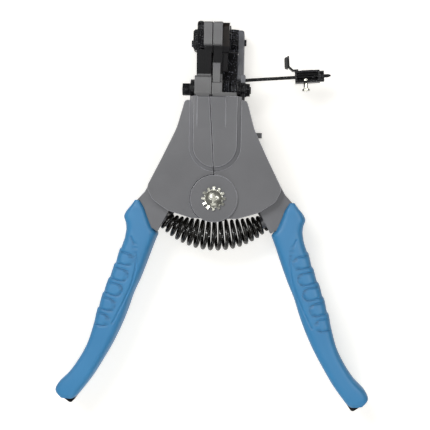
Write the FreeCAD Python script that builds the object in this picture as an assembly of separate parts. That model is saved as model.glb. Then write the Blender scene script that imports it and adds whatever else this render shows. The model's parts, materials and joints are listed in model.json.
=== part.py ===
import FreeCAD, Part
import math
import os

os.makedirs("parts", exist_ok=True)
V = FreeCAD.Vector

# Driving dimensions, mm. X to the right, Y to the jaws, Z up; the tool lies on its back.
# The origin is the main pivot axis on the rest plane. h is the height from the parting plane.
# The plate is a lap, a running gap and a cap; the U rises from it and rests on the ground.
GAP = 0.3
PLATE_IN = 6.6
LAP_T = 1.8
CAP_T = 1.5
BULGE_RISE = 2.3
ROOF_T = 2.2
BOSS_RISE = 1.3
LAP_H = PLATE_IN + LAP_T
PLATE_OUT = LAP_H + GAP + CAP_T
BULGE_OUT = PLATE_OUT + BULGE_RISE
BULGE_IN = BULGE_OUT - ROOF_T
BOSS_TOP = PLATE_OUT + BOSS_RISE
MID_Z = BULGE_OUT
BULGE_R = 11.5
BULGE_IN_R = 9.3
BULGE_Y = 23.4
TOP_Y = 45.0
PLATE_TOP = 43.4
BOSS_R = 10.4
LAP_STEP = 0.4
LAP_R = BOSS_R - LAP_STEP
HUB_R = 9.0
WEB_H = 6.0
PIVOT_R = 3.0
FIT = 0.05
HINGE_Y = 49.1
HINGE_R = 1.6
EAR_R = 4.2
OPEN_DEG = 6.0
ARM_H = 2.2
PIN_Y = 29.0
PIN_X = 3.0
PIN_R = 2.1
PIN_H = 2.85
HEAD_Y0 = 68.5
HEAD_Y1 = 78.9
# The grip passes over the spring's lug with a gap.
LUG_T = 1.3
LUG_GAP = 0.9
GRIP_H = PLATE_OUT - LUG_T - LUG_GAP
WIRE_R = 0.72
SPRING_X = 22.6
SPRING_Y = -9.9
SPRING_SAG = 6.4
SPRING_MID_R = 6.3
SPRING_END_R = 3.35
COILS = 18.0
ROD_R = 0.75
ROD_X0 = 10.8
ROD_Y0 = 53.45
ROD_DEG = 4.1
ROD_LEN = 38.6
SLIDE_AT = 29.5


def box(x0, x1, y0, y1, h0, h1):
    return Part.makeBox(x1 - x0, y1 - y0, h1 - h0, V(x0, y0, h0))


def cyl(r, h0, h1, x=0.0, y=0.0):
    return Part.makeCylinder(r, h1 - h0, V(x, y, h0))


def cylx(r, x0, x1, y=HINGE_Y, h=0.0):
    return Part.makeCylinder(r, x1 - x0, V(x0, y, h), V(1, 0, 0))


def outline(points):
    # Closed wire through (x, y, corner radius) points.
    n = len(points)
    ins, outs, mids = [], [], []
    for i in range(n):
        x, y, r = points[i]
        here = V(x, y, 0)
        to_a = (V(points[i - 1][0], points[i - 1][1], 0) - here).normalize()
        to_b = (V(points[(i + 1) % n][0], points[(i + 1) % n][1], 0) - here).normalize()
        half = to_a.getAngle(to_b) / 2.0
        if r <= 0:
            ins.append(here)
            outs.append(here)
            mids.append(None)
            continue
        run = r / math.tan(half)
        centre = here + (to_a + to_b).normalize() * (r / math.sin(half))
        ins.append(here + to_a * run)
        outs.append(here + to_b * run)
        mids.append(centre + (here - centre).normalize() * r)
    edges = []
    for i in range(n):
        if mids[i] is not None:
            edges.append(Part.Arc(ins[i], mids[i], outs[i]).toShape())
        j = (i + 1) % n
        if outs[i].distanceToPoint(ins[j]) > 1e-4:
            edges.append(Part.makeLine(outs[i], ins[j]))
    return Part.Wire(edges)


def slab(points, h0, h1):
    face = Part.Face(outline(points))
    solid = face.extrude(V(0, 0, h1 - h0))
    solid.translate(V(0, 0, h0))
    return solid


def profile(points, x0, x1):
    # Prism along X of a (y, h, corner radius) outline.
    face = Part.Face(outline(points))
    solid = face.extrude(V(0, 0, x1 - x0))
    solid.rotate(V(0, 0, 0), V(1, 1, 1), 120)
    solid.translate(V(x0, 0, 0))
    return solid


def section_y(points, y0, y1):
    # Prism along Y of an (x, h) outline.
    wire = Part.makePolygon([V(x, y0, h) for x, h in points + points[:1]])
    return Part.Face(wire).extrude(V(0, y1 - y0, 0))


def mirror_h(shape):
    return shape.mirror(V(0, 0, 0), V(0, 0, 1))


def mirror_x(shape):
    return shape.mirror(V(0, 0, 0), V(1, 0, 0))


def fused(shapes):
    return shapes[0].fuse(shapes[1:]).removeSplitter()


def u_wire(radius, h, top=TOP_Y):
    a, b = V(-radius, top, h), V(-radius, BULGE_Y, h)
    c, d = V(radius, BULGE_Y, h), V(radius, top, h)
    arc = Part.Arc(b, V(0, BULGE_Y - radius, h), c).toShape()
    return Part.Wire([Part.makeLine(a, b), arc, Part.makeLine(c, d), Part.makeLine(d, a)])


def half_space(side):
    # One side of the parting seam, which slants a little towards the top.
    seam = [(-0.3, -30), (-0.3, 12), (-0.7, 19), (-2.65, 46), (-2.65, 60)]
    shift = -GAP / 2 if side < 0 else GAP / 2
    pts = [(x + shift, y, 0) for x, y in seam]
    pts += [(60 * side, 60, 0), (60 * side, -30, 0)]
    return slab(pts, -30, 30)


def shell_plate(side, rear):
    # Cast plate with the raised U over the lever tails, side skirt and pivot lap disc.
    right = [(0, PLATE_TOP, 0), (13.7, PLATE_TOP, 1.6), (17.1, 31.0, 25), (23.0, 18.5, 25), (30.0, 4.5, 4),
             (27.2, -1.0, 4), (20.4, -5.6, 3), (9.8, -8.8, 0), (0, -8.8, 0)]
    pts = [(x * side, y, r) for x, y, r in right]
    plate = slab(pts, PLATE_IN, PLATE_OUT)
    bulge = Part.makeLoft([u_wire(BULGE_R, PLATE_OUT - 0.2), u_wire(BULGE_R - 1.9, BULGE_OUT)], True, True)
    hollow = Part.Face(u_wire(BULGE_IN_R, PLATE_IN - 1, TOP_Y + 1)).extrude(V(0, 0, BULGE_IN - PLATE_IN + 1))
    body = [plate, bulge.common(half_space(side))]
    if not rear:
        ridge = profile([(29.0, BULGE_OUT - 0.5, 0), (TOP_Y, BULGE_OUT - 0.5, 0),
                         (TOP_Y, BULGE_OUT + 0.9, 0.8), (31.0, BULGE_OUT, 0)], -8.0, 4.6)
        body.append(ridge.common(half_space(side)))
    skirt = [(12.4, PLATE_TOP, 0), (13.4, PLATE_TOP, 0), (16.9, 30.9, 14), (22.8, 18.3, 0), (20.8, 17.3, 0),
             (14.9, 30.3, 14), (12.4, 39.4, 0)]
    body.append(slab([(x * side, y, r) for x, y, r in skirt], GAP / 2, PLATE_IN + 1))
    solid = fused(body).cut(hollow).common(half_space(side))
    top = BULGE_OUT if rear else BOSS_TOP
    if side < 0:
        solid = solid.cut(cyl(BOSS_R + GAP, LAP_H, 30)).fuse(cyl(LAP_R, PLATE_IN, LAP_H))
    else:
        solid = solid.cut(cyl(BOSS_R, 0, LAP_H + GAP)).fuse(cyl(BOSS_R, LAP_H + GAP, top))
        if rear:
            solid = solid.cut(cyl(6.6, top - 3.4, top + 1))
    solid = solid.cut(cyl(PIVOT_R + FIT, -30, 30)).removeSplitter()
    if rear:
        solid = mirror_h(solid).fuse(spring_seat(side))
        if side > 0:
            solid = solid.fuse(box(16.8, 20.2, 28.2, 30.6, -9.2, -6.8))
    if len(solid.Solids) == 1:
        solid = solid.Solids[0]
    return solid


def spring_seat(side):
    # Lug from the rear plate that turns up in front of the handle and holds the spring's end.
    foot = slab([(-28.2, -0.2, 1), (-18.5, -5.0, 0.5), (-20.4, -8.4, 1), (-23.2, -12.8, 0.6),
                 (-25.3, -12.3, 0.6), (-28.2, -6.6, 1)], -PLATE_OUT, LUG_T - PLATE_OUT)
    disc = Part.makeCylinder(3.7, 1.0, V(-1.0, 0, 0), V(1, 0, 0))
    stem = Part.makeBox(1.0, 6.4, 9.6, V(-1.0, -3.2, -9.6))
    spigot = Part.makeCylinder(2.3, 2.4, V(-0.1, 0, 0), V(1, 0, 0))
    cup = disc.fuse([stem, spigot])
    cup.rotate(V(0, 0, 0), V(0, 0, 1), -2 * math.degrees(math.atan(SPRING_SAG / SPRING_X)))
    cup.translate(V(-SPRING_X, SPRING_Y, 0))
    lug = foot.fuse(cup)
    return lug if side < 0 else mirror_x(lug)


def ribbon(points):
    # Closed strip outline from (x, y, half width, corner radius) along a centre line.
    left, right = [], []
    n = len(points)
    for i in range(n):
        x, y, w, r = points[i]
        a = points[max(i - 1, 0)]
        b = points[min(i + 1, n - 1)]
        d = V(b[0] - a[0], b[1] - a[1], 0).normalize()
        left.append((x - d.y * w, y + d.x * w, r))
        right.append((x + d.y * w, y - d.x * w, r))
    return left + right[::-1]


def handle_core():
    # Left handle blank: neck behind the plates, shoulder and the tang inside the grip.
    neck = [(-3.5, 8.3, 0), (-13.0, 9.2, 8), (-22.4, 14.2, 5), (-25.2, 13.6, 2), (-31.2, 2.5, 6),
            (-38.2, -5.0, 4), (-39.0, -9.0, 4), (-36.0, -14.0, 3), (-27.0, -15.6, 0.8), (-28.8, -8.6, 2),
            (-26.9, -1.8, 3), (-20.0, -1.6, 6), (-9.0, -4.0, 3), (-4.0, -8.0, 0)]
    cheek = slab([(-27.5, 0.0, 0), (-20.2, -1.0, 0), (-20.4, -6.0, 0.6), (-25.2, -15.2, 0.6),
                  (-29.5, -12.0, 0)], 4.4, WEB_H)
    return slab(neck, -WEB_H, WEB_H).fuse(cheek)


def tang():
    line = [(-33.5, -9.0, 5.0, 0), (-36.0, -25.0, 4.2, 8), (-43.0, -45.0, 4.0, 20), (-49.2, -63.0, 3.8, 12),
            (-56.5, -78.0, 3.6, 12), (-65.6, -91.6, 3.2, 1.2)]
    return slab(ribbon(line), -3.0, 3.0)


def handle(side):
    # Lapped hub, neck, and the thin upper arm that carries the cam pin.
    low, high = (-WEB_H, -GAP / 2) if side < 0 else (GAP / 2, WEB_H)
    seam = GAP * side / 2
    other = cyl(HUB_R + 0.5, seam, seam + 20) if side < 0 else cyl(HUB_R + 0.5, seam - 20, seam)
    arm = slab([(-5.2, 5.0, 0), (-5.2, 31.5, 2.0), (-0.7, 31.5, 2.0), (-0.7, 5.0, 0)], -ARM_H, ARM_H)
    arm = arm.fuse(slab([(-7.0, 4.0, 0), (-5.2, 22.0, 4), (-0.7, 22.0, 0), (-0.7, 4.0, 0)], -ARM_H, ARM_H))
    blank = handle_core().fuse([arm, tang()])
    if side > 0:
        blank = mirror_x(blank)
    solid = blank.cut(other).fuse(cyl(HUB_R, low, high)).cut(cyl(PIVOT_R + FIT, -30, 30))
    solid = solid.cut(cyl(PIN_R, -30, 30, PIN_X * side, PIN_Y)).removeSplitter()
    return solid


GRIP_PAIRS = [((35.0, -1.2), (30.4, -3.4), 5.2), ((38.8, -4.6), (27.6, -9.2), 7.4),
              ((40.3, -8.8), (25.4, -14.6), GRIP_H), ((39.2, -14.4), (26.0, -18.9), GRIP_H),
              ((40.4, -19.6), (27.7, -23.8), GRIP_H), ((43.0, -26.6), (30.2, -31.0), GRIP_H),
              ((46.2, -34.6), (33.4, -38.8), GRIP_H), ((49.2, -43.0), (36.5, -46.9), GRIP_H),
              ((52.2, -52.4), (39.8, -55.2), GRIP_H), ((55.0, -61.8), (43.7, -63.4), 7.8),
              ((58.4, -69.6), (47.9, -71.4), 7.6), ((63.6, -76.8), (52.6, -79.2), 7.4),
              ((69.4, -83.2), (58.2, -86.8), 7.0), ((69.6, -87.2), (62.2, -92.2), 5.4)]
PADS = [((38.8, -27.7), 2.4, 2.8), ((40.7, -34.8), 2.4, 2.8), ((43.0, -41.4), 2.4, 2.8),
        ((46.3, -48.1), 2.4, 2.8), ((49.0, -54.9), 2.3, 2.8)]


def refined(rows):
    # Smooth curve through the rows, with one extra row halfway between neighbours.
    out = []
    n = len(rows)
    for i in range(n - 1):
        a, b, c, d = rows[max(i - 1, 0)], rows[i], rows[i + 1], rows[min(i + 2, n - 1)]
        out.append(b)
        out.append([(9 * (q + r) - p - s) / 16.0 for p, q, r, s in zip(a, b, c, d)])
    out.append(rows[-1])
    return out


def oval_section(x0, y0, x1, y1, half, power=0.5, sides=16):
    # Rounded box section between an outer and an inner edge point, upright along Z.
    o, i = V(x0, y0, 0), V(x1, y1, 0)
    mid, reach = (o + i) * 0.5, (o - i) * 0.5
    pts = []
    for k in range(sides + 1):
        a = 2 * math.pi * ((k % sides) + 0.5) / sides
        c, s = math.cos(a), math.sin(a)
        u = math.copysign(abs(c) ** power, c)
        w = math.copysign(abs(s) ** power, s)
        pts.append(mid + reach * u + V(0, 0, half * w))
    return Part.makePolygon(pts)


def pad_prism(x, y, a, b):
    # Raised finger pad through both faces of the grip.
    pts = []
    for k in range(17):
        t = 2 * math.pi * (k % 16) / 16
        pts.append(V(a * math.cos(t), b * math.sin(t), -GRIP_H - 0.55))
    pad = Part.Face(Part.makePolygon(pts)).extrude(V(0, 0, 2 * GRIP_H + 1.1))
    pad.rotate(V(0, 0, 0), V(0, 0, 1), 20)
    pad.translate(V(x, y, 0))
    return pad


def grip(side):
    # Moulded sleeve over the tang, with five raised finger pads on each face.
    rows = refined([o + i + (h,) for o, i, h in GRIP_PAIRS])
    body = Part.makeLoft([oval_section(*row) for row in rows], True, True)
    body = body.fuse([pad_prism(x, y, b, a) for (x, y), a, b in PADS])
    core = handle_core().fuse(tang())
    if side < 0:
        body = mirror_x(body)
    else:
        core = mirror_x(core)
    solid = body.cut(core)
    return max(solid.Solids, key=lambda s: s.Volume)


def tail(x0, x1, side):
    # Lever tail inside the U; its inner ramp is shallow outwards, so the cam pin spreads it.
    deep, shallow, edge = 5.4, 3.15, 5.1
    seam, far = (x1, x0) if side < 0 else (x0, x1)
    pts = [(seam, deep), (edge * side, deep), (far, shallow), (far, 9.7), (seam, 9.7)]
    body = section_y(pts, 24.0, 48.0)
    return body.common(profile([(24.0, 0, 0), (24.0, 8.6, 1), (27, 9.7, 0), (48.0, 9.7, 0), (48.0, 0, 0)],
                               x0 - 1, x1 + 1))


def lever(block, arm, head, ear, tail_x, side, top=54.9):
    # Front lever with the jaws shut: hinge block, recessed arm and head.
    hub = profile([(46.5, 4.6, 0), (46.5, 9.7, 0.8), (top, 9.0, 0.8), (top + 0.5, 6.4, 0),
                   (top + 0.5, 2.8, 0), (52.6, 2.8, 0), (50.0, 4.4, 0)], block[0], block[1])
    reach = profile([(52.4, 2.8, 0), (52.4, 6.2, 0), (66.8, 6.2, 0), (66.8, 2.6, 0), (54.4, 2.6, 0)],
                    arm[0], arm[1])
    top_reach = profile([(65.6, 2.6, 0), (65.6, 6.2, 0), (73, 6.2, 0), (73, 2.6, 0)], head[0], head[1])
    cap = profile([(69.6, 0.2, 0), (67.2, 2.6, 0), (67.2, 4.0, 0), (HEAD_Y0, 5.0, 0), (HEAD_Y0, 9.6, 0.8),
                   (HEAD_Y1, 9.2, 0.8), (HEAD_Y1, 0.2, 0.4)], head[0], head[1])
    boss = cylx(EAR_R, ear[0], ear[1]).fuse(box(ear[0], ear[1], HINGE_Y - 4.1, HINGE_Y + 4.1, 0.6, 6.6))
    body = fused([hub, reach, top_reach, cap, tail(tail_x[0], tail_x[1], side)])
    body = body.cut(cylx(EAR_R + 0.4, -20, 20))
    return body.fuse(boss).cut(cylx(HINGE_R + FIT, -20, 20)).removeSplitter()


def opened(shape, rear=False):
    # Turns a shut front piece to its rest opening; the rear one is its mirror image.
    copy = shape.copy()
    copy.rotate(V(0, HINGE_Y, 0), V(1, 0, 0), OPEN_DEG)
    return mirror_h(copy) if rear else copy


SCREWS = {"gripper_screws_front": (-8.75, -5.0, 71.6, 4.6, False),
          "gripper_screws_rear": (-11.7, -7.6, 71.4, 4.4, False),
          "blade_screws_front": (1.2, 5.3, 72.6, 4.4, True),
          "blade_screws_rear": (4.2, 11.4, 72.0, 4.4, True)}


def drilled(shape, name):
    # Takes the screw's hole out of the pieces that it joins.
    x0, x1, y, h, right = SCREWS[name]
    return shape.cut(cylx(0.8, x0, x1, y, h))


def front_jaw_left():
    body = lever((-9.7, -2.3), (-9.1, -2.6), (-5.8, -2.1), (-9.7, -8.1), (-9.0, -3.0), -1)
    return opened(drilled(body, "gripper_screws_front"))


def front_jaw_right():
    body = lever((-2.0, 2.5), (-1.7, 2.35), (-1.7, 2.35), (-0.6, 2.4), (-1.6, 9.0), 1, 52.4)
    web = profile([(51.5, 4.9, 0), (51.5, 8.0, 0), (61.2, 7.4, 0.8), (61.2, 5.0, 0)], -1.75, 1.5)
    return opened(drilled(body.fuse(web).removeSplitter(), "blade_screws_front"))


def rear_jaw_left():
    body = lever((-9.7, -2.3), (-8.6, -2.6), (-8.6, -2.1), (-7.8, -6.2), (-9.0, -3.0), -1)
    return opened(drilled(body, "gripper_screws_rear"), True)


def rear_jaw_right():
    body = lever((-2.0, 8.6), (-1.7, 8.6), (-1.7, 5.35), (6.3, 8.6), (-1.6, 9.0), 1)
    return opened(drilled(body, "blade_screws_rear"), True)


def rear_cheek():
    # Cover plate of the rear cutting jaw, outside its blade.
    plate = profile([(48.0, 5.0, 0), (48.0, 8.4, 0.6), (58, 8.8, 3), (77.4, 8.4, 2.5), (77.4, 1.2, 1.5),
                     (68, 1.2, 2), (64, 2.6, 0), (54.8, 2.8, 0), (52.0, 5.0, 0)], 8.9, 11.4)
    plate = plate.fuse(box(8.6, 8.9, 54.6, 66.0, 2.8, 6.0)).removeSplitter()
    plate = plate.common(slab([(8.4, 40, 0), (8.4, 77.4, 0), (11.4, 77.4, 1.7), (11.4, 40, 0)], 0, 20))
    return opened(drilled(plate, "blade_screws_rear"), True)


def gripper(x0, x1, y0, y1):
    # Pad with a serrated biting edge and a rounded top, shut position.
    body = profile([(y0, 1.2, 0.5), (y0 + 2.5, 0.35, 0), (y1, 0.35, 0.3), (y1, 7.6, 3.2),
                    (y1 - 3.5, 8.6, 2.5), (y0, 6.0, 1.5)], x0, x1)
    r = (x1 - x0) * 0.46
    body = body.common(slab([(x0, y0, r), (x1, y0, 0), (x1, y1, r), (x0, y1, r)], 0, 20))
    n = int((y1 - y0 - 3.6) / 0.9)
    cuts = []
    for k in range(n):
        y = y0 + 3.0 + 0.9 * k
        cuts.append(profile([(y, 0.2, 0), (y + 0.4, 0.85, 0), (y + 0.8, 0.2, 0)], x0 - 1, x1 + 1))
    return body.cut(cuts)


def blade(x0, x1, y0, y1):
    # Plate with a bevelled edge and three stepped wire notches, shut position.
    lead = 0.3 * (y1 - y0)
    body = profile([(y0, 2.9, 0), (y0, 6.0, 0.5), (y1 - 2.0, 7.4, 1), (y1, 6.4, 0.8), (y1, 0.35, 0),
                    (y0 + lead, 0.35, 0), (y0 + lead - 2.0, 2.9, 0)], x0, x1)
    bevel = section_y([(x0 + 0.5, 0.0), (x1 + 0.1, 0.0), (x1 + 0.1, 1.3)], y0, y1 + 1)
    body = body.cut(bevel)
    for k, r in enumerate((1.1, 0.85, 0.6)):
        body = body.cut(cylx(r, x0 - 1, x1 + 1, y1 - 2.2 - 2.9 * k, 0.35))
    return body


def cap_screw(x0, x1, y, h, head_r=1.5, head=0.9, right=True):
    # Screw along X; its head lies on the outer side.
    shank = cylx(0.8, x0, x1, y, h)
    if right:
        top = cylx(head_r, x1, x1 + head, y, h)
        slot = box(x1 + head - 0.4, x1 + head + 1, y - 2, y + 2, h - 0.2, h + 0.2)
    else:
        top = cylx(head_r, x0 - head, x0, y, h)
        slot = box(x0 - head - 1, x0 - head + 0.4, y - 2, y + 2, h - 0.2, h + 0.2)
    return shank.fuse(top).cut(slot)


def bracket(side):
    # Bent steel bracket between the shells; its ears carry one hinge bolt.
    ears = ((-12.0, -10.1, 4.6), (-4.0, -2.85, EAR_R))
    if side > 0:
        ears = ((10.4, 12.3, 3.2), (-2.15, -0.95, EAR_R))
    lo, hi = min(e[0] for e in ears), max(e[1] for e in ears)
    body = [box(lo, hi, 34.0, 38.0, -1.1, 1.1)]
    for a, b, r in ears:
        body.append(cylx(r, a, b))
        body.append(box(a, b, 34.0, HINGE_Y, -2.4, 2.4))
    px = (-12.2, -10.1) if side < 0 else (10.4, 12.3)
    body.append(box(px[0], px[1], 34.0, 38.6, -PLATE_IN, PLATE_IN))
    if side > 0:
        body.append(box(10.4, 12.3, HINGE_Y, HINGE_Y + 3.2, -1.8, 1.8))
    return fused(body).cut(cylx(HINGE_R, -20, 20))


def rod_block():
    # Small clamp block on the right bracket; the stop rod is pressed into it.
    block = box(10.5, 12.5, HINGE_Y + 3.2, ROD_Y0 + 2.4, -1.8, 1.8)
    block = block.makeChamfer(0.4, [e for e in block.Edges if abs(e.BoundBox.YMin - ROD_Y0 - 2.4) < 1e-6])
    return block.cut(along_rod(Part.makeCylinder(ROD_R, 30, V(-10, 0, 0), V(1, 0, 0))))


def hexagon_x(across, x0, x1):
    # Hexagon bar along X with two flats facing up and down the tool.
    r = across / math.sqrt(3)
    pts = []
    for k in range(7):
        a = math.radians(60 * k + 30)
        pts.append(V(x0, HINGE_Y + r * math.cos(a), r * math.sin(a)))
    return Part.Face(Part.makePolygon(pts)).extrude(V(x1 - x0, 0, 0))


def hinge_bolt(side):
    if side < 0:
        body = cylx(HINGE_R, -12.4, -2.7).fuse(hexagon_x(5.2, -15.7, -12.4))
    else:
        body = cylx(HINGE_R, -2.3, 15.0)
    return body


def wire_tube(points, radius, sides=6):
    # Bent wire: polygon rings turned along with the path and joined into one tube.
    rings = []
    across = None
    n = len(points)
    for i in range(n):
        heading = (points[min(i + 1, n - 1)] - points[max(i - 1, 0)]).normalize()
        if across is None:
            across = heading.cross(V(0.3, 0.5, 0.8))
        across = (across - heading * across.dot(heading)).normalize()
        other = heading.cross(across)
        ring = []
        for k in range(sides + 1):
            a = 2 * math.pi * (k % sides) / sides
            ring.append(points[i] + across * (radius * math.cos(a)) + other * (radius * math.sin(a)))
        rings.append(Part.makePolygon(ring))
    return Part.makeLoft(rings, True, True)


def torsion_spring(x0, x1, wire, r, turns, leg):
    # Coil on the hinge bolt; its two legs push the front and rear levers apart.
    steps = int(round((turns + 0.5) * 12))
    first, last = x0 + wire / 2, x1 - wire / 2
    pts = [V(first, HINGE_Y + leg, r - 0.25 * leg)]
    for k in range(steps + 1):
        a = 2 * math.pi * (turns + 0.5) * k / steps
        x = first + (last - first) * k / steps
        pts.append(V(x, HINGE_Y - r * math.sin(a), r * math.cos(a)))
    pts.append(V(last, HINGE_Y + leg, 0.25 * leg - r))
    return wire_tube(pts, wire / 2)


def return_spring():
    # Barrel-shaped compression spring bent round below the pivot boss.
    radius = (SPRING_X ** 2 + SPRING_SAG ** 2) / (2 * SPRING_SAG)
    cy = SPRING_Y - SPRING_SAG + radius
    span = math.asin(SPRING_X / radius) - (WIRE_R + 0.05) / radius
    n = int(COILS * 12)
    pts = []
    for k in range(n + 1):
        t = k / n
        a = -span + 2 * span * t
        middle = V(radius * math.sin(a), cy - radius * math.cos(a), 0)
        outward = V(math.sin(a), -math.cos(a), 0)
        r = SPRING_END_R + (SPRING_MID_R - SPRING_END_R) * math.sin(math.pi * t) ** 0.8
        b = 2 * math.pi * COILS * t
        pts.append(middle + outward * (r * math.cos(b)) + V(0, 0, r * math.sin(b)))
    return wire_tube(pts, WIRE_R)


def pivot_screw():
    shank = cyl(PIVOT_R, -BULGE_OUT, BOSS_TOP + 0.5)
    dome = Part.makeSphere(5.2, V(0, 0, BOSS_TOP + 1.0 - 2.9)).common(cyl(3.6, BOSS_TOP + 0.6, BOSS_TOP + 4))
    deep = BOSS_TOP + 2.0
    cross = fused([box(-2.0, 2.0, -0.45, 0.45, deep, 20), box(-0.45, 0.45, -2.0, 2.0, deep, 20)])
    return shank.fuse([cyl(3.6, BOSS_TOP + 0.5, BOSS_TOP + 0.7), dome]).cut(cross).removeSplitter()


def star_washer():
    # External teeth, each one set a little out of flat.
    ring = cyl(4.1, BOSS_TOP, BOSS_TOP + 0.5)
    teeth = []
    for k in range(12):
        tooth = box(3.6, 5.3, -0.6, 0.6, BOSS_TOP, BOSS_TOP + 0.6)
        tooth.rotate(V(3.8, 0, BOSS_TOP + 0.3), V(1, 0, 0), 12)
        tooth.translate(V(0, 0, 0.14))
        tooth.rotate(V(0, 0, 0), V(0, 0, 1), 30 * k)
        teeth.append(tooth)
    return ring.fuse(teeth).cut(cyl(PIVOT_R, 0, 30)).removeSplitter()


def pivot_nut():
    r = 10.0 / math.sqrt(3)
    pts = [V(r * math.cos(math.radians(60 * k)), r * math.sin(math.radians(60 * k)), -11.9) for k in range(7)]
    return Part.Face(Part.makePolygon(pts)).extrude(V(0, 0, 2.4)).cut(cyl(PIVOT_R, -20, 0))


def washer_x(x0, x1, r):
    return cylx(r, x0, x1).cut(cylx(HINGE_R, x0 - 1, x1 + 1))


def along_rod(shape, at=0.0):
    copy = shape.copy()
    copy.translate(V(at, 0, 0))
    copy.rotate(V(0, 0, 0), V(0, 0, 1), ROD_DEG)
    copy.translate(V(ROD_X0, ROD_Y0, 0))
    return copy


def stop_rod():
    rod = Part.makeCylinder(ROD_R, ROD_LEN, V(0, 0, 0), V(1, 0, 0))
    tip = Part.makeCone(ROD_R, 0.35, 1.2, V(ROD_LEN, 0, 0), V(1, 0, 0))
    return along_rod(rod.fuse(tip).removeSplitter())


def stop_slider(at=-5.6):
    # Folded sheet channel; the rod runs through both end flanges.
    outer = box(at, at + 11.0, -2.8, 2.6, -2.6, 2.6)
    inner = box(at + 0.8, at + 10.2, -2.0, 1.8, -1.8, 3.0)
    knob = Part.makeCylinder(2.5, 2.0, V(at + 10.9, -0.1, 0), V(1, 0, 0))
    lip = box(at + 3.0, at + 8.0, 1.8, 2.6, 2.4, 3.4)
    body = outer.cut(inner).fuse([knob, lip])
    body = body.cut(Part.makeCylinder(ROD_R + FIT, 60, V(-20, 0, 0), V(1, 0, 0)))
    body = body.cut(Part.makeCylinder(1.0, 4, V(at + 4.6, -5, 0), V(0, 1, 0)))
    return along_rod(body.removeSplitter(), SLIDE_AT)


def stop_arm(at=-5.6):
    # Bent strip from the slider's end up to the pad.
    path = [(at + 1.6, 2.6, 0), (at + 1.6, 3.4, 0), (at - 0.6, 3.4, 0), (at - 2.2, 5.0, 0),
            (at - 2.2, 9.6, 0), (at - 3.0, 9.6, 0), (at - 3.0, 4.6, 0), (at - 1.0, 2.6, 0)]
    return along_rod(slab(path, -1.7, 1.7), SLIDE_AT)


def stop_pad(at=-5.6):
    pad = slab([(at - 3.0, 4.0, 0), (at - 3.0, 9.4, 0.4), (at - 4.4, 8.6, 0.8), (at - 4.4, 4.4, 0.5)],
               -2.4, 2.4)
    return along_rod(pad, SLIDE_AT)


def stop_screw(at=-5.6):
    # Clamp screw: its tip bears on the rod, its slotted end stands below the slider.
    shank = Part.makeCylinder(0.95, 4.9, V(at + 4.6, -5.7, 0), V(0, 1, 0))
    head = Part.makeCylinder(1.7, 0.9, V(at + 4.6, -6.3, 0), V(0, 1, 0))
    slot = box(at + 2, at + 7, -7, -5.9, -0.2, 0.2)
    return along_rod(shank.fuse(head).cut(slot), SLIDE_AT)


def cam_pin(side):
    body = cyl(PIN_R, -PIN_H, PIN_H, PIN_X * side, PIN_Y)
    edges = [e for e in body.Edges if e.Closed and len(e.Vertexes) == 1]
    return body.makeChamfer(0.5, edges[:2])


def save(name, shape):
    copy = shape.copy()
    copy.translate(V(0, 0, MID_Z))
    copy.exportStep("parts/" + name + ".step")
    print(name, len(copy.Solids), round(copy.Volume), copy.isValid())


def build():
    for word, side in (("left", -1), ("right", 1)):
        save("front_plate_" + word, shell_plate(side, False))
        save("rear_plate_" + word, shell_plate(side, True))
        save("hinge_bracket_" + word, bracket(side))
        save("hinge_bolt_" + word, hinge_bolt(side))
        save("handle_" + word, handle(side))
        save("grip_" + word, grip(side))
        save("cam_pin_" + word, cam_pin(side))
    save("front_jaw_left", front_jaw_left())
    save("front_jaw_right", front_jaw_right())
    save("rear_jaw_left", rear_jaw_left())
    save("rear_jaw_right", rear_jaw_right())
    save("rear_cheek", rear_cheek())
    save("rod_block", rod_block())
    shank = box(2.35, 4.6, 57.2, 67.0, 2.7, 5.2)
    pieces = {"gripper_front": (gripper(-8.75, -5.8, 67.0, 79.4), "gripper_screws_front", False),
              "gripper_rear": (gripper(-11.7, -8.6, 67.6, 77.1), "gripper_screws_rear", True),
              "blade_front": (blade(2.35, 5.3, 65.4, 78.6).fuse(shank), "blade_screws_front", False),
              "blade_rear": (blade(5.35, 8.9, 67.3, 77.2), "blade_screws_rear", True)}
    for name, (shape, screw, rear) in pieces.items():
        save(name, opened(drilled(shape, screw), rear))
        x0, x1, y, h, right = SCREWS[screw]
        save(screw, opened(cap_screw(x0, x1, y, h, right=right), rear))
    save("jaw_spring_left", torsion_spring(-6.0, -4.25, 0.6, 3.1, 1, 2.2))
    save("jaw_spring_right", torsion_spring(2.8, 6.0, 0.8, 3.8, 2, 2.4))
    save("hinge_spacer", washer_x(9.0, 10.4, 4.0))
    save("hinge_washer_left", washer_x(-12.4, -12.0, 2.7))
    save("hinge_washer_right", washer_x(12.3, 12.9, 3.1))
    save("hinge_nut", hexagon_x(5.4, 12.9, 14.5).cut(cylx(HINGE_R, 10, 20)))
    save("return_spring", return_spring())
    save("pivot_screw", pivot_screw())
    save("star_washer", star_washer())
    save("pivot_nut", pivot_nut())
    save("pivot_washer", cyl(6.2, -9.5, -9.1).cut(cyl(PIVOT_R, -20, 0)))
    save("stop_rod", stop_rod())
    save("stop_slider", stop_slider())
    save("stop_arm", stop_arm())
    save("stop_pad", stop_pad())
    save("stop_screw", stop_screw())


build()
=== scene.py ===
import json
import math
import bpy
import numpy as np
from mathutils import Matrix, Vector


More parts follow.
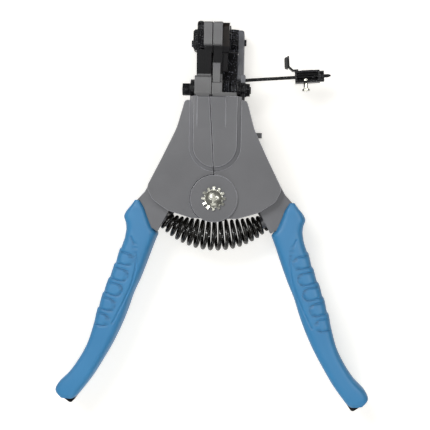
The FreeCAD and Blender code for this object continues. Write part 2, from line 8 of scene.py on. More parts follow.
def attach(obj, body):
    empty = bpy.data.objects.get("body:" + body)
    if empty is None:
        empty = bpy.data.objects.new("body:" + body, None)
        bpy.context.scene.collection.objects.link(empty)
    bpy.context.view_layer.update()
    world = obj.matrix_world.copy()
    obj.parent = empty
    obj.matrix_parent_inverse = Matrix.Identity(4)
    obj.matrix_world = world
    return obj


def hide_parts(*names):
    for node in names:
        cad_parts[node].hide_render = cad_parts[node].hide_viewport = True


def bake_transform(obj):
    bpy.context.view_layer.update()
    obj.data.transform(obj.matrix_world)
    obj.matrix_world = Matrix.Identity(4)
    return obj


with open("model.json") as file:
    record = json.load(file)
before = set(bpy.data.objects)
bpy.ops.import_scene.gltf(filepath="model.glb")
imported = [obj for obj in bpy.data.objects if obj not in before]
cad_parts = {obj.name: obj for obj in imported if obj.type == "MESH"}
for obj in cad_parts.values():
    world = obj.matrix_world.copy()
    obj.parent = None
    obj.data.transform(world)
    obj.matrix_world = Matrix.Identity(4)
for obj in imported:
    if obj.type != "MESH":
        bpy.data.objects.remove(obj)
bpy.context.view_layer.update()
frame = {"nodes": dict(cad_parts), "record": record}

# %% [markdown]
# Automatic wire stripper, dressed for the camera.
# The CAD frame gives every metal piece its true shape and its joints. This script gives the pieces
# their finishes, moulds the soft grips over the tangs, winds the return spring, and then sets the
# floor, the lights and the camera of the photograph. Shapes are worked out in millimetres and
# scaled by MM to the metres of the frame. The parting plane of the tool lies at z = MID_Z.

# %% The frame
MM = 0.001
MID_Z = 12.5
nodes = frame["nodes"]


# %% [markdown]
# Both pieces that are made here, the moulded grip and the wound coil, are long and closed all
# round. They could be modelled by hand or bent with modifiers. A grid of points worked out with
# numpy was chosen, so a piece is one formula over two parameters, its length and the angle round
# it, and a number can be set against the photograph.

# %% Mesh helpers
WEAK_SIDE = 0.2


def smooth(edge0, edge1, x):
    """Hermite step: t*t*(3 - 2t) with t = (x - edge0) / (edge1 - edge0), held in 0..1."""
    t = np.clip((x - edge0) / (edge1 - edge0), 0.0, 1.0)
    return t * t * (3.0 - 2.0 * t)


def grid_mesh(name, points):
    """Mesh from an array (rows, columns, 3) in mm: each row closes on itself, the ends are capped."""
    rows, cols = points.shape[:2]
    i = np.arange(rows - 1)[:, None]
    j = np.arange(cols)[None, :]
    j1 = (j + 1) % cols
    corners = [i * cols + j, i * cols + j1, (i + 1) * cols + j1, (i + 1) * cols + j]
    faces = np.stack(corners, axis=-1).reshape(-1, 4).tolist()
    faces.append(list(range(cols))[::-1])
    faces.append(list(range((rows - 1) * cols, rows * cols)))
    mesh = bpy.data.meshes.new(name)
    mesh.from_pydata((points.reshape(-1, 3) * MM).astype(np.float32).tolist(), [], faces)
    mesh.validate()
    mesh.update()
    mesh.shade_smooth()
    obj = bpy.data.objects.new(name, mesh)
    bpy.context.scene.collection.objects.link(obj)
    return obj


def tube(name, path, radius, sides):
    """Round tube along path (n, 3) in mm.

    A ring is set out from the z axis, or from the x axis where the path runs nearly along z."""
    tangent = np.gradient(path, axis=0)
    tangent /= np.linalg.norm(tangent, axis=1)[:, None]
    side = np.cross(tangent, np.array([0.0, 0.0, 1.0]))
    weak = np.linalg.norm(side, axis=1) < WEAK_SIDE
    side[weak] = np.cross(tangent[weak], np.array([1.0, 0.0, 0.0]))
    side /= np.linalg.norm(side, axis=1)[:, None]
    other = np.cross(tangent, side)
    a = np.linspace(0, 2 * np.pi, sides, endpoint=False)[None, :, None]
    ring = np.cos(a) * side[:, None, :] + np.sin(a) * other[:, None, :]
    return grid_mesh(name, path[:, None, :] + radius * ring)


# %% [markdown]
# A material is a small graph of nodes. The same few kinds come back in every finish, so each gets
# a helper that makes the node, wires it and hands back its output.

# %% Node helpers
def feed(tree, source, socket):
    """Link a socket, or set a plain value."""
    if isinstance(source, bpy.types.NodeSocket):
        tree.links.new(source, socket)
    else:
        socket.default_value = source


def math_node(tree, operation, first, second, clamp=False):
    """Math node on two sockets or values; gives its output."""
    node = tree.nodes.new("ShaderNodeMath")
    node.operation = operation
    node.use_clamp = clamp
    feed(tree, first, node.inputs[0])
    feed(tree, second, node.inputs[1])
    return node.outputs[0]


def vector_node(tree, operation, first, second):
    """Vector math node on two sockets; gives the node, as its result may be a vector or a value."""
    node = tree.nodes.new("ShaderNodeVectorMath")
    node.operation = operation
    feed(tree, first, node.inputs[0])
    feed(tree, second, node.inputs[1])
    return node


def mix_colour(tree, factor, first, second):
    """Colour that runs from first to second as factor runs from 0 to 1."""
    node = tree.nodes.new("ShaderNodeMix")
    node.data_type = "RGBA"
    feed(tree, factor, node.inputs["Factor"])
    feed(tree, first, node.inputs["A"])
    feed(tree, second, node.inputs["B"])
    return node.outputs["Result"]


def remap(tree, value, low=0.0, high=1.0, out_low=0.0, out_high=1.0):
    """Value taken from low..high to out_low..out_high, held at both ends."""
    node = tree.nodes.new("ShaderNodeMapRange")
    for label, number in (("From Min", low), ("From Max", high), ("To Min", out_low), ("To Max", out_high)):
        node.inputs[label].default_value = number
    feed(tree, value, node.inputs["Value"])
    return node.outputs["Result"]


# %% [markdown]
# Effects that the finishes share are node groups. They hand back only masks, values or normals,
# and each finish adds its own colours to them.

# %% Group helpers
def group(name, inputs, outputs):
    """Empty shader group with sockets (label, kind, default) in and (label, kind) out."""
    tree = bpy.data.node_groups.new(name, "ShaderNodeTree")
    for label, kind, value in inputs:
        socket = tree.interface.new_socket(label, in_out="INPUT", socket_type=kind)
        socket.default_value = value
    for label, kind in outputs:
        tree.interface.new_socket(label, in_out="OUTPUT", socket_type=kind)
    return tree, tree.nodes.new("NodeGroupInput"), tree.nodes.new("NodeGroupOutput")


def use_group(tree, shared, **values):
    """Node of a shared group with its inputs set."""
    node = tree.nodes.new("ShaderNodeGroup")
    node.node_tree = shared
    for label, value in values.items():
        node.inputs[label].default_value = value
    return node


# %% [markdown]
# On a used tool the paint is thin or gone along the edges, and cast edges are never sharp. The edges could
# be bevelled in the mesh, but the CAD's meshes stay as they are. The Bevel node rounds the normal near an
# edge without any new faces, and where that normal leaves the face's own, there is an edge. The colour put
# there is wear, and on some finishes painted light as well: a painted highlight along rims and painted shade
# in the grooves of the grips.

# %% Edges: wear and painted light
BEVEL_SAMPLES = 6


def edge_group():
    """Edge mask = Gain * (1 - rounded normal . face normal), held in 0..1; the rounded normal too."""
    tree, gin, gout = group("edge_mask",
                            [("Radius", "NodeSocketFloat", 0.0005), ("Gain", "NodeSocketFloat", 6.0)],
                            [("Mask", "NodeSocketFloat"), ("Normal", "NodeSocketVector")])
    bevel = tree.nodes.new("ShaderNodeBevel")
    bevel.samples = BEVEL_SAMPLES
    feed(tree, gin.outputs["Radius"], bevel.inputs["Radius"])
    face = tree.nodes.new("ShaderNodeNewGeometry")
    dot = vector_node(tree, "DOT_PRODUCT", bevel.outputs["Normal"], face.outputs["True Normal"])
    bent = math_node(tree, "SUBTRACT", 1.0, dot.outputs["Value"])
    mask = math_node(tree, "MULTIPLY", bent, gin.outputs["Gain"], clamp=True)
    feed(tree, mask, gout.inputs["Mask"])
    feed(tree, bevel.outputs["Normal"], gout.inputs["Normal"])
    return tree


# %% [markdown]
# Stoved paint, blackened steel and moulded plastic all have a fine relief and a slow drift of
# colour. Two noises give both. They read object coordinates, so the pattern stays with its piece
# when a joint moves.

# %% Grain
NOISES = (("Slow", "Mottle", 3.0), ("Fine", "Height", 2.0))


def grain_group():
    """Two noises on object coordinates: a slow mottle for the colour and a fine one for the relief."""
    tree, gin, gout = group("grain",
                            [("Slow", "NodeSocketFloat", 60.0), ("Fine", "NodeSocketFloat", 1500.0)],
                            [("Mottle", "NodeSocketFloat"), ("Height", "NodeSocketFloat")])
    coord = tree.nodes.new("ShaderNodeTexCoord")
    for scale, result, detail in NOISES:
        noise = tree.nodes.new("ShaderNodeTexNoise")
        noise.inputs["Detail"].default_value = detail
        feed(tree, coord.outputs["Object"], noise.inputs["Vector"])
        feed(tree, gin.outputs[scale], noise.inputs["Scale"])
        feed(tree, noise.outputs["Fac"], gout.inputs[result])
    return tree


# %% [markdown]
# Some pieces are one casting with two colours, such as a lever whose recess is painted near black, partly
# dark steel and partly painted shade, or the shell whose U wall is painted lighter as a painted highlight. A
# second material on some faces would mean touching the CAD's mesh, so a soft box in object space marks the
# part of the piece that takes the other colour.

# %% Zones
def zone_group():
    """Soft box mask on object coordinates: 1 inside Low..High along X, Y and Z, in metres."""
    tree, gin, gout = group("zone",
                            [("Low", "NodeSocketVector", (-1, -1, -1)),
                             ("High", "NodeSocketVector", (1, 1, 1)),
                             ("Soft", "NodeSocketFloat", 0.0003)],
                            [("Mask", "NodeSocketFloat")])
    place = tree.nodes.new("ShaderNodeTexCoord").outputs["Object"]
    inside = 1.0
    for above, below in ((place, gin.outputs["Low"]), (gin.outputs["High"], place)):
        split = tree.nodes.new("ShaderNodeSeparateXYZ")
        feed(tree, vector_node(tree, "SUBTRACT", above, below).outputs[0], split.inputs[0])
        for depth in split.outputs:
            ramp = math_node(tree, "DIVIDE", depth, gin.outputs["Soft"], clamp=True)
            inside = math_node(tree, "MULTIPLY", inside, ramp)
    feed(tree, inside, gout.inputs["Mask"])
    return tree


EDGE, GRAIN, ZONE = edge_group(), grain_group(), zone_group()
print("shader groups", [shared.name for shared in (EDGE, GRAIN, ZONE)])


# %% [markdown]
# Paint, steel and plastic differ only in numbers, so one recipe serves them all. The base colour drifts with
# the slow noise, takes an edge colour along the edges that is wear and on some finishes painted light, can
# take another colour inside a box, and can carry small flecks of the edge colour, which are painted glints
# standing for the glints of oiled steel.

# %% One recipe for every finish
COAT_ROUGH = 0.2
MOTTLE_LOW, MOTTLE_HIGH = 0.3, 0.7
GLINT_FLECK_LOW, GLINT_FLECK_HIGH = 0.60, 0.68
GLOSS_DRIFT = 0.06
RELIEF = 0.0004
BLACK_BELOW = 0.05
DULL_SPECULAR = 0.12


def base_colour(tree, grain, edge, dark, light, wear_and_painted_light, wear_and_light_share):
    """Dark to light by the slow noise, then the edge colour, wear and painted light, where the edge mask
    times its share says so.
    """
    drift = remap(tree, grain.outputs["Mottle"], MOTTLE_LOW, MOTTLE_HIGH)
    paint = mix_colour(tree, drift, (*dark, 1), (*light, 1))
    share = math_node(tree, "MULTIPLY", edge.outputs["Mask"], wear_and_light_share)
    return mix_colour(tree, share, paint, (*wear_and_painted_light, 1))


def finish_material(name, dark, light, wear_and_painted_light, rough, metallic=0.0, slow=60.0, fine=1500.0, bump=0.05,
                    edge_mm=0.35, gain=6.0, wear_and_light_share=0.5, coat=0.0, specular=0.5, zones=(), painted_glints=0.0):
    """Surface whose colour drifts between dark and light and turns on its edges to an edge colour of wear
    and painted light.

    Each zone is (low mm, high mm, colour): a box of object space, duller too if it is black."""
    mat = bpy.data.materials.new(name)
    mat.use_nodes = True
    tree = mat.node_tree
    shader = tree.nodes["Principled BSDF"]
    for label, value in (("Metallic", metallic), ("Coat Weight", coat), ("Coat Roughness", COAT_ROUGH),
                         ("Specular IOR Level", specular)):
        shader.inputs[label].default_value = value
    grain = use_group(tree, GRAIN, Slow=slow, Fine=fine)
    edge = use_group(tree, EDGE, Radius=edge_mm * MM, Gain=gain)

    colour = base_colour(tree, grain, edge, dark, light, wear_and_painted_light, wear_and_light_share)
    for low, high, shade in zones:
        zone = use_group(tree, ZONE, Low=[v * MM for v in low], High=[v * MM for v in high])
        colour = mix_colour(tree, zone.outputs["Mask"], colour, (*shade, 1))
        if max(shade) < BLACK_BELOW:
            shine = remap(tree, zone.outputs["Mask"], out_low=specular, out_high=DULL_SPECULAR)
            feed(tree, shine, shader.inputs["Specular IOR Level"])
    # Painted glints: small flecks of the edge colour where the fine noise peaks stand for the glints of
    # oiled steel.
    if painted_glints:
        glint_mask = remap(tree, grain.outputs["Height"], GLINT_FLECK_LOW, GLINT_FLECK_HIGH, 0.0, painted_glints)
        colour = mix_colour(tree, glint_mask, colour, (*wear_and_painted_light, 1))
    feed(tree, colour, shader.inputs["Base Color"])

    gloss = remap(tree, grain.outputs["Mottle"], out_low=rough - GLOSS_DRIFT, out_high=rough + GLOSS_DRIFT)
    feed(tree, gloss, shader.inputs["Roughness"])
    height = tree.nodes.new("ShaderNodeBump")
    height.inputs["Strength"].default_value = bump
    height.inputs["Distance"].default_value = RELIEF
    feed(tree, grain.outputs["Height"], height.inputs["Height"])
    feed(tree, edge.outputs["Normal"], height.inputs["Normal"])
    feed(tree, height.outputs["Normal"], shader.inputs["Normal"])
    return mat


# %% [markdown]
# The castings carry a grey stoved paint with a faint orange peel. The small steel pieces are blackened, the
# blades are browned, the screws are zinc plated, and the grips are a satin plastic. The boxes are read from
# the photograph: the levers' recess is painted near black, partly dark steel and partly painted shade; the
# grips' core ends are black; the wall of the raised U is painted lighter, a painted highlight; the web on
# the right lever is darker, and the blade's shank is blacker than its edge.

# %% Zones of this tool
BIG = 400.0
# Near black in the levers' recess under the heads: partly dark steel, partly painted shade.
RECESS_BLACK_AND_SHADE = ((-BIG, 55.2, -BIG), (BIG, 67.9, 20.9), (0.004, 0.004, 0.005))
WEB = ((-1.9, 55.2, 20.9), (1.7, 61.8, BIG), (0.092, 0.094, 0.105))
CORE_END = ((-BIG, -BIG, -BIG), (BIG, -90.4, BIG), (0.006, 0.006, 0.007))
# Painted highlight: the outward wall of the raised U is painted lighter than the plate round it.
WALL_PAINTED_HIGHLIGHT = ((-BIG, 11.4, 22.8), (BIG, BIG, 24.7), (0.262, 0.263, 0.278))
SHANK = ((-BIG, -BIG, -BIG), (BIG, 67.6, BIG), (0.005, 0.005, 0.006))
BLACKENED = ((0.003, 0.003, 0.004), (0.008, 0.008, 0.009))
print("zones read in mm:", "recess", RECESS_BLACK_AND_SHADE[0][1], "to", RECESS_BLACK_AND_SHADE[1][1], "core end below", CORE_END[1][1])

# %% [markdown]
# The numbers of each finish: two base colours, the edge colour of wear and painted light, and the roughness,
# and then what differs from the recipe's own values. They were set against the photograph under the lights
# below.

# %% Finishes
MATERIALS = {
    # The shell's edge colour is lighter: partly worn paint, partly a painted highlight along the rims.
    "shell": finish_material(
        "shell_paint", (0.100, 0.101, 0.109), (0.122, 0.123, 0.132), (0.50, 0.50, 0.54), 0.40,
        slow=45, fine=900, bump=0.10, wear_and_light_share=0.8, edge_mm=0.5, gain=14.0, coat=0.1, zones=(WALL_PAINTED_HIGHLIGHT,)),
    "lever": finish_material(
        "lever_paint", (0.115, 0.115, 0.117), (0.145, 0.145, 0.146), (0.36, 0.36, 0.36), 0.42,
        slow=90, fine=1200, bump=0.12, zones=(RECESS_BLACK_AND_SHADE, WEB)),
    "handle": finish_material(
        "handle_cast", (0.115, 0.117, 0.126), (0.150, 0.152, 0.163), (0.36, 0.36, 0.38), 0.40,
        slow=80, fine=1000, bump=0.12, zones=(CORE_END,)),
    # The grip's edge colour is darker: painted shade in its grooves, creases and round its pads.
    "grip": finish_material(
        "grip_plastic", (0.049, 0.255, 0.520), (0.057, 0.280, 0.560), (0.022, 0.12, 0.26), 0.48,
        slow=40, fine=2500, wear_and_light_share=0.7, specular=0.3),
    # The black steel's light edge colour is partly wear and partly painted glints along its edges.
    "black_steel": finish_material(
        "black_steel", *BLACKENED, (0.16, 0.16, 0.17), 0.30,
        slow=200, fine=1800, bump=0.14, specular=0.15, painted_glints=0.8),
    "blade_steel": finish_material(
        "blade_steel", (0.004, 0.004, 0.003), (0.022, 0.014, 0.009), (0.16, 0.15, 0.15), 0.30,
        slow=260, fine=2400, bump=0.10, wear_and_light_share=0.7, specular=0.2, zones=(SHANK,)),
    "spring_black": finish_material(
        "spring_wire", (0.004, 0.004, 0.003), (0.010, 0.008, 0.006), (0.05, 0.05, 0.05), 0.22,
        slow=300, fine=2400, wear_and_light_share=0.0, edge_mm=0.1, specular=0.4),
    "bright": finish_material(
        "zinc", (0.26, 0.26, 0.22), (0.42, 0.42, 0.37), (0.85, 0.85, 0.80), 0.28,
        metallic=0.85, slow=300, fine=3000, edge_mm=0.2),
    "rubber_black": finish_material(
        "pad_rubber", (0.010, 0.010, 0.010), (0.018, 0.018, 0.018), (0.03, 0.03, 0.03), 0.7,
        slow=300, fine=2600, bump=0.2, wear_and_light_share=0.2),
}
CHEEK = finish_material(
    "cheek_paint", (0.10, 0.105, 0.12), (0.15, 0.155, 0.175), (0.42, 0.43, 0.46), 0.36,
    slow=160, fine=1400, bump=0.12, wear_and_light_share=0.6)
# The blackened blade's bluish edge colour is partly wear and partly painted glints along its edges.
BLACK_BLADE = finish_material(
    "blade_black", *BLACKENED, (0.22, 0.23, 0.27), 0.30,
    slow=260, fine=1500, bump=0.14, wear_and_light_share=0.6, specular=0.15, painted_glints=0.9)

# %% [markdown]
# A piece takes the finish of its slot in the record, apart from those that differ in the photograph.

# %% Finish of each piece
OWN = {"rear_cheek": CHEEK, "rod_block": CHEEK}
for piece in ("blade_rear", "rear_jaw_right", "jaw_spring_right", "jaw_spring_left",
              "gripper_screws_front", "gripper_screws_rear", "blade_screws_front", "blade_screws_rear"):
    OWN[piece] = BLACK_BLADE
SLOT_OF = {s["node"]: s["material_slot"] for s in frame["record"]["subparts"]}
for name, obj in nodes.items():
    obj.data.materials.clear()
    obj.data.materials.append(OWN.get(name, MATERIALS[SLOT_OF[name]]))
print("finishes", sorted(MATERIALS))

# %% [markdown]
# A grip is a soft sleeve moulded over the tang. Its section is a rounded oval between an outer and
# an inner edge line, so the sleeve is one surface over (length, angle): the edges are splines
# through measured pairs, each with its half thickness, and the ends round off. Five finger pads,
# the scallops of the outer edge and a crease are added along the surface, because a soft moulding
# has no sharp step that a separate solid would need. Measures are in mm.

# %% Measures of the grip
GRIP_PAIRS = np.array([
    [35.6, -1.1, 33.2, -1.4, 7.4], [37.6, -3.7, 31.2, -4.4, 8.0], [39.6, -6.2, 29.9, -7.4, 8.0],
    [40.6, -8.6, 28.7, -10.2, 8.0], [39.8, -11.3, 27.3, -13.4, 8.0], [39.5, -14.0, 25.7, -15.7, 8.0],
    [39.8, -16.5, 26.4, -18.0, 8.0], [40.3, -18.9, 27.6, -21.2, 8.0], [42.6, -25.5, 30.2, -28.5, 8.0],
    [45.3, -33.2, 33.0, -36.0, 8.0], [48.1, -40.2, 36.1, -43.2, 8.0], [50.7, -48.0, 38.7, -51.0, 8.0],
    [52.9, -55.6, 41.4, -58.0, 8.0], [55.3, -64.1, 45.2, -66.2, 7.8], [58.5, -71.0, 49.1, -73.2, 7.7],
    [63.3, -78.3, 53.9, -81.2, 7.6], [68.4, -83.6, 58.6, -87.6, 7.4], [70.0, -87.4, 60.6, -90.0, 7.0],
    [67.8, -90.6, 61.9, -91.0, 5.8]])
GRIP_ROWS, GRIP_COLS = 440, 168
OVAL_POWER = 0.5
STEPS = np.array([-23.1, -30.0, -36.5, -43.0, -49.9])
STEP_RISE, STEP_START, STEP_TOP, STEP_END = 0.45, -0.7, 0.3, 6.4
FINGER_PADS = np.array([[38.8, -27.7], [40.7, -34.8], [43.0, -41.4], [46.3, -48.1], [49.0, -54.9]])
PAD_ACROSS, PAD_ALONG, PAD_OUTWARD = 2.9, 2.75, 0.35
PAD_RISE, PAD_EDGE, PAD_GROOVE, PAD_GROOVE_W = 0.32, 0.72, 0.42, 0.13
CREASE = np.array([[36.8, -17.7], [34.9, -22.5], [34.2, -28.1],
                   [35.4, -36.4], [39.1, -46.0], [44.2, -56.3]])
CREASE_DEPTH, CREASE_W, CREASE_POINTS = 0.42, 0.40, 160
FLANK_LOW, FLANK_HIGH = 0.25, 0.8
print("grip", 2 * GRIP_PAIRS[:, 4].max(), "mm thick,", len(FINGER_PADS), "pads")


# %% [markdown]
# The edge lines are smooth curves through the measured points, and so is the crease. Catmull-Rom
# was chosen because it passes through every point it is given.

# %% Curve through points
def catmull(points, t):
    """Catmull-Rom curve through the rows of points at parameters t in 0..n-1."""
    n = len(points)
    k = np.clip(np.floor(t).astype(int), 0, n - 2)
    u = (t - k)[:, None]
    p0, p1 = points[np.maximum(k - 1, 0)], points[k]
    p2, p3 = points[k + 1], points[np.minimum(k + 2, n - 1)]
    return 0.5 * (2 * p1 + (p2 - p0) * u + (2 * p0 - 5 * p1 + 4 * p2 - p3) * u ** 2
                  + (3 * p1 - p0 - 3 * p2 + p3) * u ** 3)


# %% [markdown]
# The relief of a moulded grip keeps the fingers in place: a saw of scallops on the outer edge, and
# flat pads with a groove round each on both faces. Each is a height that is added to the sleeve, so
# it runs out softly as in a mould.

# %% Relief of the grip
def scallops(y):
    """Saw of the outer edge: each step rises quickly at its y and fades towards the grip's end."""
    saw = np.zeros(len(y))
    for step_y in STEPS:
        d = step_y - y
        saw += STEP_RISE * smooth(STEP_START, STEP_TOP, d) * (1 - smooth(STEP_TOP, STEP_END, d))
    return saw


def pad_lift(xy, out):
    """Raised pads with a groove round each: q = hypot(across / PAD_ACROSS, along / PAD_ALONG), 1 on the rim.

    The outward side of a pad is drawn out, so that it runs over the outer edge as a D."""
    lift = np.zeros(xy.shape[:2])
    d = out[:, None, :]
    for pad in FINGER_PADS:
        v = xy - pad
        across = v[..., 0] * d[..., 0] + v[..., 1] * d[..., 1]
        along = v[..., 0] * d[..., 1] - v[..., 1] * d[..., 0]
        across = np.where(across > 0, across * PAD_OUTWARD, across)
        q = np.hypot(across / PAD_ACROSS, along / PAD_ALONG)
        lift += PAD_RISE * (1 - smooth(PAD_EDGE, 1.0, q))
        lift -= PAD_GROOVE * np.exp(-((q - 1.0) / PAD_GROOVE_W) ** 2)
    return lift


def crease_depth(xy):
    """Groove along the crease: CREASE_DEPTH * exp(-(distance / CREASE_W)^2)."""
    gap = np.full(xy.shape[:2], np.inf)
    for x, y in catmull(CREASE, np.linspace(0, len(CREASE) - 1, CREASE_POINTS)):
        gap = np.minimum(gap, np.hypot(xy[..., 0] - x, xy[..., 1] - y))
    return CREASE_DEPTH * np.exp(-(gap / CREASE_W) ** 2)


# %% [markdown]
# The sleeve is made for the right handle and mirrored for the left. A mirror turns the faces inside
# out, so the columns are reversed as well.

# %% Sleeves
def make_grip(side):
    """p(t, a) = mid(t) + reach(t) * sgn|cos a|^P + z * half(t) * sgn|sin a|^P, with P = OVAL_POWER.

    The scallops push the outer edge out, and pads and crease raise or lower the two faces."""
    line = catmull(GRIP_PAIRS, np.linspace(0, len(GRIP_PAIRS) - 1, GRIP_ROWS))
    outer, inner, half = line[:, 0:2], line[:, 2:4], line[:, 4]
    a = np.linspace(0, 2 * np.pi, GRIP_COLS, endpoint=False)
    u = np.sign(np.cos(a)) * np.abs(np.cos(a)) ** OVAL_POWER
    w = np.sign(np.sin(a)) * np.abs(np.sin(a)) ** OVAL_POWER
    mid, reach = (outer + inner) / 2, (outer - inner) / 2
    out = reach / np.linalg.norm(reach, axis=1)[:, None]
    xy = mid[:, None, :] + reach[:, None, :] * u[None, :, None]
    bulge = scallops(outer[:, 1])[:, None] * np.clip(np.cos(a), 0, 1)[None, :] ** 2
    xy = xy + out[:, None, :] * bulge[..., None]
    z = half[:, None] * w[None, :]
    relief = pad_lift(xy, out) - crease_depth(xy)
    z = z + np.sign(z) * relief * smooth(FLANK_LOW, FLANK_HIGH, np.abs(w))[None, :]
    pts = np.concatenate([xy, z[..., None] + MID_Z], axis=-1)
    if side < 0:
        pts[..., 0] *= -1
        pts = pts[:, ::-1]
    word = "left" if side < 0 else "right"
    obj = grid_mesh("grip_sleeve_" + word, pts)
    obj.data.materials.append(MATERIALS["grip"])
    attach(obj, word + "_handle")
    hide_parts("grip_" + word)
    return obj


for side in (-1, 1):
    grip = make_grip(side)
    print(grip.name, len(grip.data.polygons))

# %% [markdown]
# A strong wire spring keeps the halves shut until the jaws have gripped. It is coiled as a barrel, with
# closer coils at the seats, and bent round below the boss. As the halves part it is squeezed between their
# seats, but here it is wound once as it lies at rest and is tied to neither half. A tube along one long
# curve was chosen, so that the coils stay one wire. Measures are in mm.

# %% Measures of the spring
SPRING_X, SPRING_Y, SPRING_SAG = 22.6, -9.9, 6.4
WIRE_R, WIRE_SIDES, SEAT_GAP = 0.8, 12, 0.05
COILS, RINGS_PER_COIL = 17.0, 44
END_R, BARREL_RISE = 3.13, 3.07
CROWDING = 0.119
STEP_1, STEP_2 = 1.4, 0.5
print("spring coils", COILS, "of", 2 * WIRE_R, "mm wire")


# %% Return spring
def spring_path():
    """Helix about an arc: centre(t) + r(t) * (outward cos b + z sin b), b = 2 pi COILS t.

    The advance is 1 + STEP_1 cos b + STEP_2 cos 2b, so each turn steps over mostly on the outer side
    of the bend, where the coils are drawn apart, and its legs stand square."""
    radius = (SPRING_X ** 2 + SPRING_SAG ** 2) / (2 * SPRING_SAG)
    centre_y = SPRING_Y - SPRING_SAG + radius
    span = math.asin(SPRING_X / radius) - (WIRE_R + SEAT_GAP) / radius
    rings = int(COILS * RINGS_PER_COIL)
    turn = np.linspace(0, 1, rings)
    barrel = np.sin(np.pi * turn)
    b = 2 * np.pi * COILS * turn
    step = STEP_1 * np.sin(b) + 0.5 * STEP_2 * np.sin(2 * b)
    place = turn - CROWDING * np.sin(2 * np.pi * turn) / (2 * np.pi)
    place = place + step / (2 * np.pi * COILS) * barrel
    along = -span + 2 * span * place
    r = END_R + BARREL_RISE * barrel
    out = np.stack([np.sin(along), -np.cos(along), np.zeros(rings)], axis=1)
    centre = radius * out + np.array([0.0, centre_y, MID_Z])
    z_axis = np.array([0.0, 0.0, 1.0])
    return centre + out * (r * np.cos(b))[:, None] + z_axis * (r * np.sin(b))[:, None]


coil = tube("return_coil", spring_path(), WIRE_R, WIRE_SIDES)
coil.data.materials.append(MATERIALS["spring_black"])
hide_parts("return_spring")
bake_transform(coil)
print("coil faces", len(coil.data.polygons))

# %% [markdown]
# The tool lies on its back on a white sheet. Seen by the camera or in a reflection, the sheet glows
# and is also lit, so that it is white and still keeps a soft shadow. To other rays it is pale paper.

# %% Floor
FLOOR_HALF = 3.0
FLOOR_GLOW = 0.56


def sheet_material(name, seen, felt):
    """Emission plus diffuse for camera and glossy rays, diffuse alone for the rest."""
    mat = bpy.data.materials.new(name)
    mat.use_nodes = True
    tree = mat.node_tree
    tree.nodes.remove(tree.nodes["Principled BSDF"])
    glow = tree.nodes.new("ShaderNodeEmission")
    glow.inputs["Color"].default_value = (*seen, 1)
    glow.inputs["Strength"].default_value = FLOOR_GLOW
    paper = tree.nodes.new("ShaderNodeBsdfDiffuse")
    paper.inputs["Color"].default_value = (*felt, 1)
    both = tree.nodes.new("ShaderNodeAddShader")
    feed(tree, glow.outputs[0], both.inputs[0])
    feed(tree, paper.outputs[0], both.inputs[1])
    ray = tree.nodes.new("ShaderNodeLightPath")
    shows = math_node(tree, "MAXIMUM", ray.outputs["Is Camera Ray"], ray.outputs["Is Glossy Ray"])
    mix = tree.nodes.new("ShaderNodeMixShader")
    feed(tree, shows, mix.inputs["Fac"])
    feed(tree, paper.outputs[0], mix.inputs[1])
    feed(tree, both.outputs[0], mix.inputs[2])
    feed(tree, mix.outputs[0], tree.nodes["Material Output"].inputs["Surface"])
    return mat


floor_mesh = bpy.data.meshes.new("floor")
floor_corners = [(x * FLOOR_HALF, y * FLOOR_HALF, 0) for x, y in ((-1, -1), (1, -1), (1, 1), (-1, 1))]
floor_mesh.from_pydata(floor_corners, [], [(0, 1, 2, 3)])
floor = bpy.data.objects.new("floor", floor_mesh)
bpy.context.scene.collection.objects.link(floor)
floor_mesh.materials.append(sheet_material("floor_white", (1.0, 0.985, 0.95), (0.80, 0.785, 0.75)))
print("floor", 2 * FLOOR_HALF, "m wide")

# %% [markdown]
# Three soft areas light the tool as a small product tent does. Two small lamps light no diffuse
# surface: they only put glints on the spring, the screws and the rims of the castings.

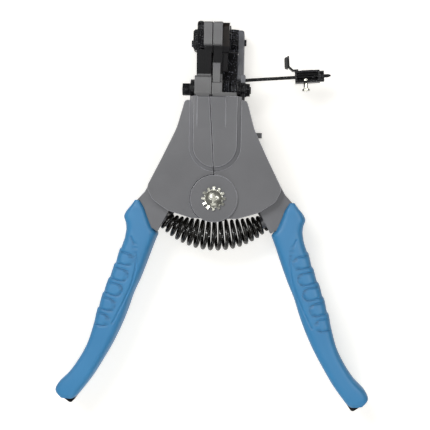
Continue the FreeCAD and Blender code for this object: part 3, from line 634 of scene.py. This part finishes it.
# %% Light
SKY = 0.22
LAMPS = (
    ("key", (-0.35, 0.45, 0.75), (0, 0, 0), (0.5, 0.35), 3.5, True),
    ("fill", (0.12, -0.10, 0.95), (0, -0.02, 0), (0.5, 0.5), 1.7, True),
    ("foot", (0.0, -0.7, 0.45), (0, -0.03, 0), (0.6, 0.3), 1.8, True),
    ("glint_left", (-0.30, 0.20, 0.70), (0, 0.01, 0), (0.06, 0.06), 3.0, False),
    ("glint_right", (0.40, 0.12, 0.66), (0, 0.01, 0), (0.06, 0.06), 3.0, False),
)
for name, where, aim, size, power, diffuse in LAMPS:
    data = bpy.data.lights.new(name, "AREA")
    data.shape = "RECTANGLE"
    data.size, data.size_y = size
    data.energy = power
    lamp = bpy.data.objects.new(name, data)
    lamp.location = where
    lamp.rotation_mode = "QUATERNION"
    lamp.rotation_quaternion = (Vector(aim) - Vector(where)).to_track_quat("-Z", "Y")
    lamp.visible_diffuse = diffuse
    bpy.context.scene.collection.objects.link(lamp)

world = bpy.data.worlds.new("studio")
world.use_nodes = True
sky = world.node_tree.nodes["Background"]
sky.inputs["Color"].default_value = (1, 1, 1, 1)
sky.inputs["Strength"].default_value = SKY
bpy.context.scene.world = world
print("lamps", len(LAMPS))

# %% [markdown]
# The camera looks almost straight down from a little to the right. Its distance follows from the
# scale of the photograph: distance = picture width in mm * lens / sensor.

# %% Camera
IMAGE = 430
MM_PER_PX = 0.45
LENS, SENSOR = 90.0, 36.0
AIM_X, AIM_Y = 0.07, -7.2
LEAN = math.radians(1.25)
FROM_RIGHT = math.radians(3.5)

cam_data = bpy.data.cameras.new("photo")
cam_data.lens, cam_data.sensor_width = LENS, SENSOR
cam_data.clip_start, cam_data.clip_end = 0.01, 10.0
cam = bpy.data.objects.new("photo", cam_data)
bpy.context.scene.collection.objects.link(cam)
distance = IMAGE * MM_PER_PX * MM * LENS / SENSOR
target = Vector((AIM_X, AIM_Y, MID_Z)) * MM
back = Vector((math.sin(FROM_RIGHT), 0.0, math.cos(FROM_RIGHT)))
right = Vector((math.cos(LEAN), math.sin(LEAN), 0.0))
right = (right - back * right.dot(back)).normalized()
up = back.cross(right)
spot = target + back * distance
cam.matrix_world = Matrix((
    (right.x, up.x, back.x, spot.x),
    (right.y, up.y, back.y, spot.y),
    (right.z, up.z, back.z, spot.z),
    (0, 0, 0, 1)))
bpy.context.scene.camera = cam
bpy.context.scene.view_settings.view_transform = "Standard"
print("camera", round(distance, 3), "m away")
